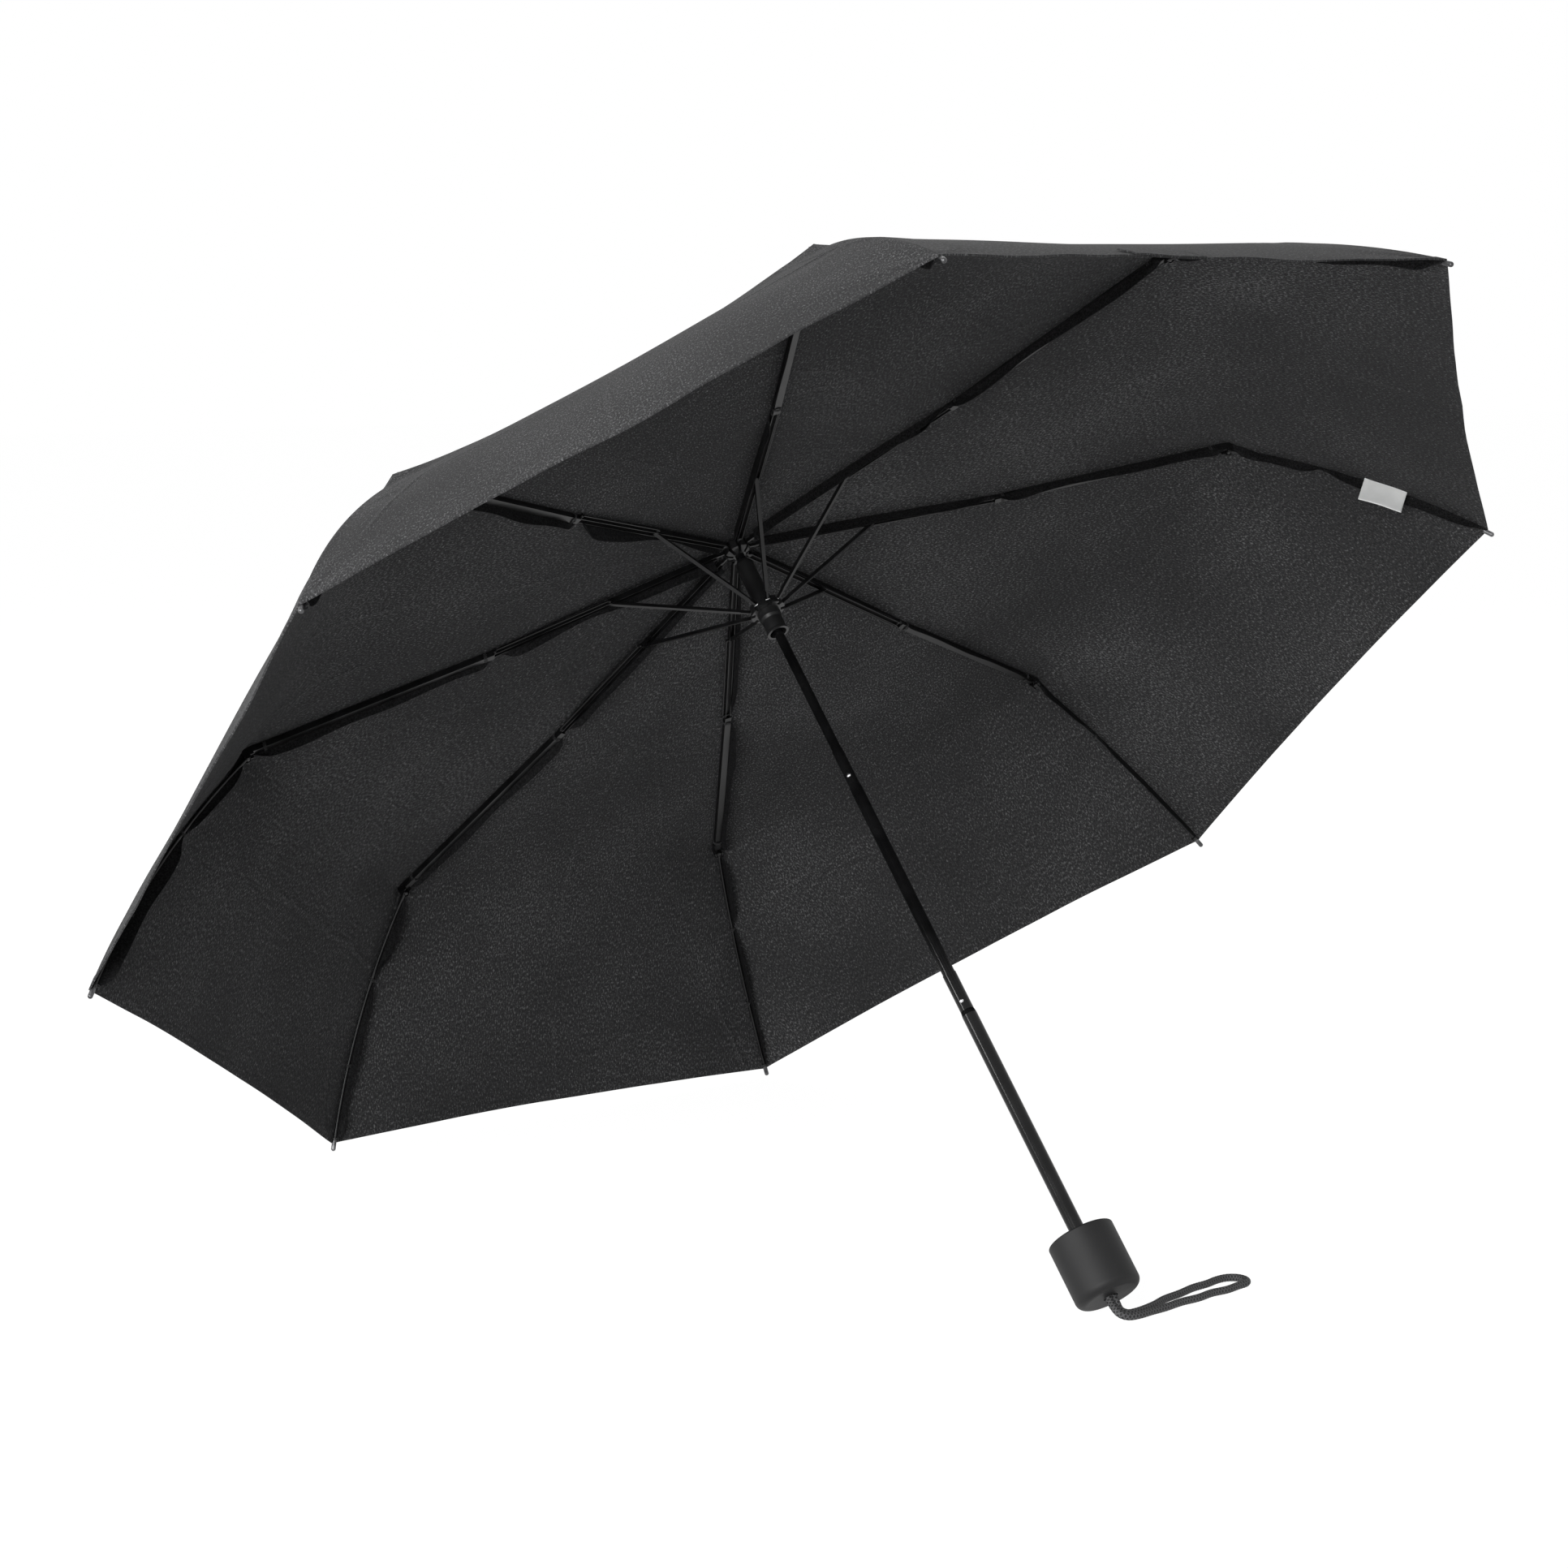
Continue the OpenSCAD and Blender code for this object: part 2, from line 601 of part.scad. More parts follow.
module canopy() {
    across_n = 4;
    rows = len(seam_line);
    cols = RIBS * across_n;
    points = [for (lift = [cloth, 0], i = [0 : rows - 1], j = [0 : cols - 1])
        cloth_spot(floor(j / across_n), seam_line[i], i / (rows - 1), (j % across_n) / across_n, lift)];
    function at(s, i, j) = s * rows * cols + i * cols + j % cols;
    quads = [
        for (i = [0 : rows - 2], j = [0 : cols - 1])
            each [[at(0, i, j), at(0, i, j + 1), at(0, i + 1, j + 1), at(0, i + 1, j)],
                  [at(1, i, j), at(1, i + 1, j), at(1, i + 1, j + 1), at(1, i, j + 1)]],
        for (j = [0 : cols - 1])
            each [[at(0, 0, j), at(1, 0, j), at(1, 0, j + 1), at(0, 0, j + 1)],
                  [at(0, rows - 1, j), at(0, rows - 1, j + 1), at(1, rows - 1, j + 1), at(1, rows - 1, j)]]
    ];
    faces = [for (q = quads) each [[q[0], q[1], q[2]], [q[0], q[2], q[3]]]];
    color(fabric) lying() polyhedron(points, faces);
}

// Strap that ties the closed umbrella, sewn on the outside of gore 8 along its hem
module closing_strap() {
    edge = 0.99;                            // share of the end rib at the strap's outer edge
    hem = 0.975;
    inner = edge - strap_w / end_len;
    side = strap_len / (2 * tip_at[0] * sin(180 / RIBS));
    seat = cloth + 3 * rest_gap;            // on a slope, so above the gap itself
    // on the flat between the cloth's points at a quarter and at a half of the gore
    function corner(s, t, lift) = let (p = over_end(s), share = 1 + (s - hem) * 0.7)
        (1 - t) * cloth_spot(RIBS - 1, p, share, 0.25, lift) + t * cloth_spot(RIBS - 1, p, share, 0.5, lift);
    points = [for (lift = [seat, seat + strap_t], s = [inner, edge], t = [1 - 4 * side, 1]) corner(s, t, lift)];
    color(fabric) lying() polyhedron(points, [
        [0, 1, 3, 2], [4, 6, 7, 5], [0, 4, 5, 1], [1, 5, 7, 3], [3, 7, 6, 2], [2, 6, 4, 0]
    ]);
}

module care_tag() {
    lift = end_d / 2 + rest_gap + tag_w * tag_w / (8 * end_r) + 0.2;   // clear of the rod's bow
    share = 0.58;                           // place along the end rib
    color("white") at_rib(2) at_pivot(bow(share), end_fall + share * end_bend)
        translate([-tag_w / 2, -0.3, -lift - tag_len]) cube([tag_w, 0.6, tag_len]);
}

grip();
lower_tube();
middle_tube();
upper_tube();
lower_catch();
upper_catch();
lock_sleeve();
crown();
crown_ring();
top_cap();
runner();
runner_ring();
canopy();
closing_strap();
care_tag();
wrist_loop();
loop_knot();
for (k = [1 : RIBS]) {
    top_rib(k);
    stretcher(k);
    middle_rib(k);
    end_rib(k);
    tip_cap(k);
}
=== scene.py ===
import json
import math
import bpy
import bmesh
from mathutils import Matrix, Vector, kdtree, noise


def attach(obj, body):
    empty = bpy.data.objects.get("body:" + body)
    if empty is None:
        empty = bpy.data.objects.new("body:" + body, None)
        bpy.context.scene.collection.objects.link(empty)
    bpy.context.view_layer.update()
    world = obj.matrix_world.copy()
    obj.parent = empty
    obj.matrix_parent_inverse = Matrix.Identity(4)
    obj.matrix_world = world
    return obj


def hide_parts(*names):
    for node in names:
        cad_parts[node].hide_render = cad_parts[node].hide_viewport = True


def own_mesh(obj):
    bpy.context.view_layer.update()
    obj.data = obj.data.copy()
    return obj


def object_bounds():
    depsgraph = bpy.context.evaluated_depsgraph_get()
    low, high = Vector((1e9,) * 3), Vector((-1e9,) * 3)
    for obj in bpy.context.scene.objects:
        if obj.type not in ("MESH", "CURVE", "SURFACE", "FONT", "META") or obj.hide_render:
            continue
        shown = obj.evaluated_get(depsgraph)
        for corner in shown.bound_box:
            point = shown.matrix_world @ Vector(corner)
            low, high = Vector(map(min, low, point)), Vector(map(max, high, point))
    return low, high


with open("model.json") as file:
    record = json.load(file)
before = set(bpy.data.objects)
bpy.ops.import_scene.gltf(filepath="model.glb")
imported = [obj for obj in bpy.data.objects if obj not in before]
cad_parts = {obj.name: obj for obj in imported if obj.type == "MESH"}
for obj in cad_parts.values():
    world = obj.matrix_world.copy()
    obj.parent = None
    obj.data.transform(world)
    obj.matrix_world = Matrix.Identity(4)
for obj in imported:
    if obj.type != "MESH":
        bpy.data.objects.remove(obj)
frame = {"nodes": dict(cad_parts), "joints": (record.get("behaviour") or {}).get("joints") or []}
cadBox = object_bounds()
jointOf = {joint["name"]: joint for joint in frame["joints"]}
ribNumbers = range(1, 9)
mm = 0.001
print("frame loaded:", len(frame["nodes"]), "nodes")

# The model leans its shaft over. upright() takes a place from the upright drawing to the leaned frame
shaftDown = Vector(jointOf["runner_slide"]["axis"])
leanTurn = Matrix.Rotation(-math.atan2(shaftDown.x, -shaftDown.z), 3, "Y")


def upright(x, y, z):
    return leanTurn @ Vector((x, y, z))


def ribTurn(rib):
    return math.radians((rib - 0.5) * 45)


def pivotOf(joint):
    # distance from the shaft's axis, and height, of a rib's pivot
    place = leanTurn.inverted() @ Vector(jointOf[joint]["pos_m"])
    return Vector((math.hypot(place.x, place.y), place.z))


class Wire:
    # a socket in a material's tree: sums and products of wires add their Math nodes
    def __init__(self, tree, socket=None):
        self.tree = tree
        self.socket = socket

    def node(self, kind, settings=None, inputs=None, output=0):
        made = self.tree.nodes.new(kind)
        for name, value in (settings or {}).items():
            if name == "stops":
                ramp = made.color_ramp.elements
                while len(ramp) < len(value):
                    ramp.new(1.0)
                for element, (place, colour) in zip(ramp, value):
                    element.position = place
                    element.color = (*colour, 1)
            else:
                setattr(made, name, value)
        for name, value in (inputs or {}).items():
            if isinstance(value, Wire):
                self.tree.links.new(value.socket, made.inputs[name])
            else:
                made.inputs[name].default_value = value
        return Wire(self.tree, made.outputs[output] if made.outputs else None)

    def maths(self, operation, *values):
        return self.node("ShaderNodeMath", {"operation": operation}, dict(enumerate(values)))

    def __add__(self, other):
        return self.maths("ADD", self, other)

    def __sub__(self, other):
        return self.maths("SUBTRACT", self, other)

    def __rsub__(self, other):
        return self.maths("SUBTRACT", other, self)

    def __mul__(self, other):
        return self.maths("MULTIPLY", self, other)

    def __pow__(self, other):
        return self.maths("POWER", self, other)

    def __abs__(self):
        return self.maths("ABSOLUTE", self)

    __radd__ = __add__
    __rmul__ = __mul__

    def sine(self):
        return self.maths("SINE", self)

    def least(self, other):
        return self.maths("MINIMUM", self, other)

    def most(self, other):
        return self.maths("MAXIMUM", self, other)


def grain(root, place, scale, detail=2.0, roughness=0.5):
    inputs = {"Vector": place, "Scale": scale, "Detail": detail, "Roughness": roughness}
    return root.node("ShaderNodeTexNoise", {}, inputs, "Fac")


def tint(root, share, stops):
    return root.node("ShaderNodeValToRGB", {"stops": stops}, {"Fac": share}, "Color")


def relief(root, height, distance):
    inputs = {"Height": height, "Distance": distance, "Strength": 1.0}
    return root.node("ShaderNodeBump", {}, inputs, "Normal")


def stretched(root, place, across, along, detail=2.0):
    # a grain drawn out one way: how many times it repeats in a metre across and along
    drawn = root.node("ShaderNodeMapping", {}, {"Vector": place, "Scale": (across, along, 1)})
    return grain(root, drawn, 1.0, detail)


def coordinates(root, kind):
    return root.node("ShaderNodeTexCoord", {}, {}, kind)


def axes(root, place):
    return [root.node("ShaderNodeSeparateXYZ", {}, {"Vector": place}, axis) for axis in "XYZ"]


def finish(name, shade, **fixed):
    # fixed values stand on the shader's own sockets, and shade() gives the ones that vary
    material = bpy.data.materials.new(name)
    material.use_nodes = True
    tree = material.node_tree
    tree.nodes.clear()
    root = Wire(tree)
    sockets = {key.replace("_", " "): value for key, value in fixed.items()}
    sockets.update({key.replace("_", " "): value for key, value in shade(root).items()})
    shader = root.node("ShaderNodeBsdfPrincipled", {}, sockets, "BSDF")
    root.node("ShaderNodeOutputMaterial", {}, {"Surface": shader})
    return material


clothLook = {
    "dark": (0.020, 0.020, 0.0208), "middle": (0.038, 0.038, 0.0390), "light": (0.165, 0.165, 0.168),
    "roughness": 0.72, "thread": 0.55 * mm, "weaveDepth": 0.012 * mm, "fleckDepth": 0.06 * mm,
    "fleckShare": 0.45, "slubShare": 0.55, "weaveShare": 0.04, "cloudShare": 0.16, "foldHighlightShare": 0.02,
    "creaseWidth": 3.4 * mm, "creaseDepth": 0.9 * mm, "wander": 7 * mm,
    "seamWidth": 0.9 * mm, "seamDepth": 0.35 * mm, "gather": 0.5 * mm, "gatherReach": 15 * mm,
    "stitchAt": 2.0 * mm, "stitchPitch": 2.8 * mm, "stitchWidth": 0.5 * mm, "stitchRise": 0.16 * mm,
    "hemStitch": 520.5 * mm,
    # fold lines of one gore: how far they turn from the gore's length, and their distance from its root
    "creases": [(0, 0), (90, 118 * mm), (90, 214 * mm), (90, 402 * mm), (62, 250 * mm), (118, 196 * mm),
                (24, 62 * mm), (-31, -88 * mm)],
}


def stripe(distance, width):
    # 1 on the line and 0 at width away from it
    return (1 - abs(distance) * (1 / width)).most(0)


def dashes(place, pitch):
    return ((place * (2 * math.pi / pitch)).sine() * 2).most(0).least(1)


def shadeCloth(root):
    look = clothLook
    place = coordinates(root, "UV")
    across, along, _ = axes(root, place)
    solid = coordinates(root, "Object")
    turns = 2 * math.pi / look["thread"]
    weave = (across * turns).sine() * (along * turns).sine()
    fleck = grain(root, solid, 900, 3.0, 0.7)
    cloud = grain(root, solid, 9, 3.0)
    slub = stretched(root, place, 1000, 420)
    wander = (grain(root, solid, 14, 2.0) - 0.5) * look["wander"]
    crease = None
    for turn, shift in look["creases"]:
        angle = math.radians(turn)
        line = across * math.cos(angle) + along * math.sin(angle) - shift + wander
        ridge = stripe(line, look["creaseWidth"])
        crease = ridge if crease is None else crease.most(ridge)
    seen = (grain(root, solid, 11, 1.0) * 3 - 1.0).most(0).least(1)
    fold = crease * seen
    # the fold lines also lift the tone: a painted highlight along the creases
    tone = (fleck * look["fleckShare"] + slub * look["slubShare"] + weave * look["weaveShare"]
            + (cloud - 0.5) * look["cloudShare"] + fold * look["foldHighlightShare"])
    colour = tint(root, tone, [(0.38, look["dark"]), (0.54, look["middle"]), (0.68, look["light"])])
    gap = abs(root.node("ShaderNodeAttribute", {"attribute_name": "seamGap"}, {}, "Fac"))
    sewn = stripe(gap - look["stitchAt"], look["stitchWidth"]) * dashes(along, look["stitchPitch"])
    hemmed = stripe(along - look["hemStitch"], look["stitchWidth"]) * dashes(across, look["stitchPitch"])
    nearSeam = stripe(gap, look["gatherReach"])
    gathers = stretched(root, place, 35, 190, 1.0)
    height = (fold * look["creaseDepth"] + weave * look["weaveDepth"] + fleck * look["fleckDepth"]
              - stripe(gap, look["seamWidth"]) * look["seamDepth"] + sewn.most(hemmed) * look["stitchRise"]
              + nearSeam * nearSeam * gathers * look["gather"])
    return {"Base_Color": colour, "Normal": relief(root, height, 1.0),
            "Roughness": fleck * 0.25 + (look["roughness"] - 0.12)}


# finishes whose colour and roughness follow one grain, given as scale, detail and roughness.
# "rough" is how far the grain moves the roughness and its least value, "pits" is a second grain
plainLooks = {
    # darker copy of the cloth for the seam fins: painted shade, as the fins stand in shadow
    "clothSeamPaintedShade": {
        "grain": (900, 3.0, 0.7), "ramp": [(0.4, (0.006, 0.006, 0.0063)), (0.75, (0.03, 0.03, 0.031))],
        "rough": (0.2, 0.65), "pits": (900, 3.0, 0.7), "depth": 0.06 * mm,
        "fixed": {"Specular_IOR_Level": 0.05}},
    "paintBlackGloss": {
        "grain": (60, 3.0), "ramp": [(0.35, (0.003, 0.003, 0.0032)), (0.7, (0.007, 0.007, 0.0073))],
        "rough": (0.12, 0.1), "pits": (1500, 2.0), "depth": 0.012 * mm,
        "fixed": {"Specular_IOR_Level": 0.22}},
    "paintRibBlack": {
        "grain": (80, 3.0), "ramp": [(0.35, (0.0035, 0.0035, 0.0037)), (0.7, (0.009, 0.009, 0.0094))],
        "rough": (0.2, 0.22), "pits": (1500, 2.0), "depth": 0.02 * mm,
        "fixed": {"Specular_IOR_Level": 0.3}},
    "plasticSatin": {
        "grain": (45, 3.0), "ramp": [(0.3, (0.007, 0.007, 0.0073)), (0.75, (0.015, 0.015, 0.0156))],
        "rough": (0.2, 0.3), "pits": (2200, 2.0), "depth": 0.02 * mm},
    "steelBright": {
        "grain": (120, 3.0), "ramp": [(0.3, (0.55, 0.55, 0.56)), (0.7, (0.78, 0.78, 0.79))],
        "rough": (0.2, 0.14), "fixed": {"Metallic": 1.0}},
    "steelDull": {
        "grain": (160, 3.0), "ramp": [(0.3, (0.04, 0.04, 0.042)), (0.7, (0.16, 0.16, 0.163))],
        "rough": (0.2, 0.26), "fixed": {"Metallic": 1.0}},
}


def shadePlain(look):
    def shade(root):
        solid = coordinates(root, "Object")
        smear = grain(root, solid, *look["grain"])
        reach, least = look["rough"]
        sockets = {"Base_Color": tint(root, smear, look["ramp"]), "Roughness": smear * reach + least}
        if "pits" in look:
            sockets["Normal"] = relief(root, grain(root, solid, *look["pits"]), look["depth"])
        return sockets
    return shade


gripLook = {"dark": (0.007, 0.007, 0.0073), "light": (0.012, 0.012, 0.0125), "depth": 0.045 * mm}


def shadeGrip(root):
    look = gripLook
    solid = coordinates(root, "Object")
    spark = grain(root, solid, 3200, 2.0, 0.6)
    touch = grain(root, solid, 55, 4.0, 0.6)
    colour = tint(root, spark * 0.4 + touch * 0.6, [(0.35, look["dark"]), (0.7, look["light"])])
    return {"Base_Color": colour, "Roughness": touch * 0.16 + 0.5,
            "Normal": relief(root, spark, look["depth"])}


cordLook = {
    "dark": (0.003, 0.003, 0.0032), "light": (0.10, 0.10, 0.103), "pitch": 9 * mm,
    "plaitSharp": 4, "depth": 0.2 * mm,
}


def shadeCord(root):
    look = cordLook
    place = coordinates(root, "UV")
    around, along, _ = axes(root, place)
    fibre = stretched(root, place, 40, 2600)
    turns, climb = around * (4 * math.pi), along * (4 * math.pi / look["pitch"])
    plait = abs((turns + climb).sine()).most(abs((turns - climb).sine())) ** look["plaitSharp"]
    # the plait's crests are coloured lighter: a painted highlight on the braid's strands
    colour = tint(root, fibre * 0.5 + plait * 0.5, [(0.35, look["dark"]), (0.8, look["light"])])
    return {"Base_Color": colour, "Roughness": fibre * 0.25 + 0.5,
            "Normal": relief(root, fibre * 0.3 + plait, look["depth"])}


tapeLook = {
    "dark": (0.88, 0.89, 0.88), "light": (0.96, 0.97, 0.96), "thread": 0.45 * mm, "depth": 0.02 * mm,
}


def shadeTape(root):
    look = tapeLook
    across, along, _ = axes(root, coordinates(root, "UV"))
    turns = 2 * math.pi / look["thread"]
    rib = (along * turns).sine() * 0.5 + (across * turns).sine() * 0.2
    soil = grain(root, coordinates(root, "Object"), 90, 3.0)
    return {"Base_Color": tint(root, soil, [(0.3, look["dark"]), (0.7, look["light"])]),
            "Roughness": soil * 0.2 + 0.4, "Normal": relief(root, rib, look["depth"])}


finishes = {}
for finishName, look in plainLooks.items():
    finishes[finishName] = finish(finishName, shadePlain(look), **look.get("fixed", {}))
cloth = finish("clothPolyester", shadeCloth,
               Specular_IOR_Level=0.05, Sheen_Weight=0.02, Sheen_Roughness=0.4)
braid = finish("braidBlack", shadeCord, Specular_IOR_Level=0.4)
tape = finish("tapeWhite", shadeTape, Sheen_Weight=0.2)
finishes["plasticSoftTouch"] = finish("plasticSoftTouch", shadeGrip, Specular_IOR_Level=0.3)
finishes["braidBlack"] = braid
finPaintedShade = finishes["clothSeamPaintedShade"]
print("materials made")

# which of the frame's nodes have which finish, named without their numbers
nodeKinds = {
    "plasticSoftTouch": ["grip"],
    "paintBlackGloss": ["lower_tube", "middle_tube", "upper_tube"],
    "steelBright": ["lower_catch", "upper_catch", "crown_ring", "runner_ring"],
    "plasticSatin": ["lock_sleeve", "crown", "top_cap", "runner"],
    "paintRibBlack": ["top_rib", "stretcher", "middle_rib", "end_rib"],
    "steelDull": ["tip_cap"],
    "braidBlack": ["loop_knot"],
}
for nodeName, nodeObject in frame["nodes"].items():
    kind = nodeName.rstrip("0123456789").rstrip("_")
    for finishName, kinds in nodeKinds.items():
        if kind in kinds:
            nodeObject.data.materials.clear()
            nodeObject.data.materials.append(finishes[finishName])

camera = {
    "place": (1.34256, -1.20699, 0.54984), "right": (0.59174, 0.80613, -0.00099),
    "up": (-0.11891, 0.0885, 0.98895), "lens": 74.16, "sensor": 36.0,
}
right, up = Vector(camera["right"]).normalized(), Vector(camera["up"])
back = right.cross(up).normalized()
up = back.cross(right)
lensData = bpy.data.cameras.new("camera")
lensData.lens, lensData.sensor_width = camera["lens"], camera["sensor"]
lensData.clip_end = 50
eye = bpy.data.objects.new("camera", lensData)
eye.matrix_world = Matrix((right, up, back)).transposed().to_4x4()
eye.matrix_world.translation = camera["place"]
bpy.context.collection.objects.link(eye)
bpy.context.scene.camera = eye

lamps = {
    # name: place, what it points at, width, watts
    "keyLamp": ((-0.85, -2.2, 0.9), (-0.1, 0, 0.25), 0.6, 22),
    "backLamp": ((-1.9, 1.2, 2.3), (-0.2, 0, 0.3), 1.5, 12),
    "frontLamp": ((1.15, -2.1, 0.85), (-0.1, 0, 0.25), 1.2, 58),
}
for lampName, (place, aim, width, watts) in lamps.items():
    lampData = bpy.data.lights.new(lampName, "AREA")
    lampData.energy, lampData.size = watts, width
    lamp = bpy.data.objects.new(lampName, lampData)
    lamp.location = place
    lamp.rotation_euler = (Vector(aim) - Vector(place)).to_track_quat("-Z", "Y").to_euler()
    bpy.context.collection.objects.link(lamp)


def paleRays(root):
    # 1 where the camera, a reflection or a view through glass looks, else 0
    path = root.tree.nodes.new("ShaderNodeLightPath")
    kinds = ("Is Camera Ray", "Is Glossy Ray", "Is Transmission Ray")
    rays = [Wire(root.tree, path.outputs[name]) for name in kinds]
    return (rays[0] + rays[1] + rays[2]).least(1)


stageLook = {
    "skyFill": 0.25,            # how strongly the sky lights matt surfaces
    "floorShade": 0.9, "floorGlow": 1.19, "glowShare": 0.8, "floorHalf": 12, "floorDrop": 0.1 * mm,
}
world = bpy.data.worlds.new("softWorld")
bpy.context.scene.world = world
world.use_nodes = True
world.node_tree.nodes.clear()
sky = Wire(world.node_tree)
strength = paleRays(sky) * (1 - stageLook["skyFill"]) + stageLook["skyFill"]
skyShade = sky.node("ShaderNodeBackground", {}, {"Color": (1, 1, 1, 1), "Strength": strength})
sky.node("ShaderNodeOutputWorld", {}, {"Surface": skyShade})
bpy.context.scene.view_settings.view_transform = "Standard"


def shadeFloor():
    material = bpy.data.materials.new("floorPale")
    material.use_nodes = True
    material.node_tree.nodes.clear()
    root = Wire(material.node_tree)
    matt = root.node("ShaderNodeBsdfDiffuse", {}, {"Color": (*[stageLook["floorShade"]] * 3, 1)})
    glow = root.node("ShaderNodeEmission", {}, {"Color": (1, 1, 1, 1), "Strength": stageLook["floorGlow"]})
    share = paleRays(root) * stageLook["glowShare"]
    mixed = root.node("ShaderNodeMixShader", {}, {0: share, 1: matt, 2: glow})
    root.node("ShaderNodeOutputMaterial", {}, {"Surface": mixed})
    return material


floorMesh = bmesh.new()
bmesh.ops.create_grid(floorMesh, x_segments=1, y_segments=1, size=stageLook["floorHalf"])
bmesh.ops.translate(floorMesh, verts=floorMesh.verts, vec=(0, 0, cadBox[0].z - stageLook["floorDrop"]))
floorData = bpy.data.meshes.new("floor")
floorMesh.to_mesh(floorData)
floorMesh.free()
floor = bpy.data.objects.new("floor", floorData)
floorData.materials.append(shadeFloor())
bpy.context.collection.objects.link(floor)
print("camera, light and floor placed")


def addPiece(name, bm, material):
    data = bpy.data.meshes.new(name)
    bm.to_mesh(data)
    bm.free()
    data.polygons.foreach_set("use_smooth", [True] * len(data.polygons))
    data.materials.append(material)
    piece = bpy.data.objects.new(name, data)
    bpy.context.collection.objects.link(piece)
    return piece


def runOf(points):
    # distance along the points, from the first to each of them
    run = [0.0]
    for a, b in zip(points, points[1:]):
        run.append(run[-1] + (b - a).length)
    return run


def throughPoints(points, step):
    # an even run of points on the smooth curve through the given ones
    ends = [points[0] * 2 - points[1], *points, points[-1] * 2 - points[-2]]
    fine, pieces = [], 24
    for a, b, c, d in zip(ends, ends[1:], ends[2:], ends[3:]):
        for i in range(pieces):
            t = i / pieces
            fine.append(0.5 * (2 * b + (c - a) * t + (2 * a - 5 * b + 4 * c - d) * t ** 2
                               + (3 * b - a - 3 * c + d) * t ** 3))
    fine.append(points[-1])
    run = runOf(fine)
    count = max(2, round(run[-1] / step))
    even, i = [], 0
    for n in range(count + 1):
        want = run[-1] * n / count
        while i < len(run) - 2 and run[i + 1] < want:
            i += 1
        even.append(fine[i].lerp(fine[i + 1], min(1, (want - run[i]) / max(run[i + 1] - run[i], 1e-9))))
    return even, run[-1]


def sweep(bm, path, sides, radiusAt):
    # pulls a ring along the path; radiusAt(turn, run) is the radius in metres
    wrap = bm.loops.layers.uv.verify()
    way = (path[1] - path[0]).normalized()
    side = way.orthogonal().normalized()
    rings, run = [], 0.0
    ring = bmesh.ops.create_circle(bm, segments=sides, radius=1)["verts"]
    edges = [edge for edge in bm.edges if all(v in set(ring) for v in edge.verts)]
    for i, spot in enumerate(path):
        if i:
            run += (spot - path[i - 1]).length
            ahead = (path[min(i + 1, len(path) - 1)] - path[i - 1]).normalized()
            side = (side - ahead * side.dot(ahead)).normalized()
            way = ahead
            grown = bmesh.ops.extrude_edge_only(bm, edges=edges)["geom"]
            edges = [item for item in grown if isinstance(item, bmesh.types.BMEdge)
                     and item.is_boundary and not set(item.verts) & set(ring)]
            follow = {}
            for old in ring:
                for edge in old.link_edges:
                    other = edge.other_vert(old)
                    if other not in ring and other not in follow.values():
                        follow[old] = other
            ring = [follow[old] for old in ring]
        other = way.cross(side)
        for j, vert in enumerate(ring):
            turn = 2 * math.pi * j / sides
            vert.co = spot + (side * math.cos(turn) + other * math.sin(turn)) * radiusAt(turn, run)
        rings.append((ring, run))
    placeOf = {}
    for ring, runHere in rings:
        for j, vert in enumerate(ring):
            placeOf[vert] = (j / sides, runHere)
    for face in bm.faces:
        turns = [placeOf[loop.vert][0] for loop in face.loops]
        for loop, turn in zip(face.loops, turns):
            past = 1.0 if max(turns) - turn > 0.5 else 0.0
            loop[wrap].uv = (turn + past, placeOf[loop.vert][1])
    for ring, _ in (rings[0], rings[-1]):
        bmesh.ops.contextual_create(bm, geom=ring)
    bmesh.ops.recalc_face_normals(bm, faces=bm.faces)


def thread(name, body, runs, radius, material):
    # fine sewing thread as one curve of several runs
    data = bpy.data.curves.new(name, "CURVE")
    data.dimensions = "3D"
    data.bevel_depth, data.bevel_resolution, data.use_fill_caps = radius, 1, True
    for run in runs:
        spline = data.splines.new("POLY")
        spline.points.add(len(run) - 1)
        for point, spot in zip(spline.points, run):
            point.co = (*spot, 1)
    data.materials.append(material)
    piece = bpy.data.objects.new(name, data)
    bpy.context.collection.objects.link(piece)
    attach(piece, body)


# Wrist loop: a braided cord that lies on the surface
wristLoop = {
    "diameter": 4.6 * mm, "strands": 8, "braidPitch": 9 * mm, "braidRise": 0.14, "braidSharp": 0.7,
    "step": 0.55 * mm, "sides": 20,
    "strandShift": 1.95 * mm,
    "holeDepths": [3.8, 0, -3.5], "gripEnd": -20.25,    # up the shaft's line, in mm
    "layHeight": -24.2,         # of the cord's middle where it lies, in mm
    "floorRoute": [             # x, y and lift above layHeight, in mm
        (18.5, 3, 2.2), (20.8, 6.5, 0.3), (21.2, 12, 0), (20.2, 20, 0), (17.8, 30, 0), (13.5, 42, 0),
        (11, 56, 0), (7.5, 70, 0), (6.5, 82, 0), (4.5, 92, 0), (4.8, 100, 0), (9, 105.5, 0),
        (15, 106, 0), (19, 102, 0), (20.2, 94, 0), (21.8, 84, 0), (21.2, 72, 0), (23.2, 60, 0),
        (23.2, 46, 0), (25.2, 32, 0), (25.8, 20, 0), (26.6, 10, 0), (25.5, 2.5, 0.3), (22, -1.5, 2.2)],
}


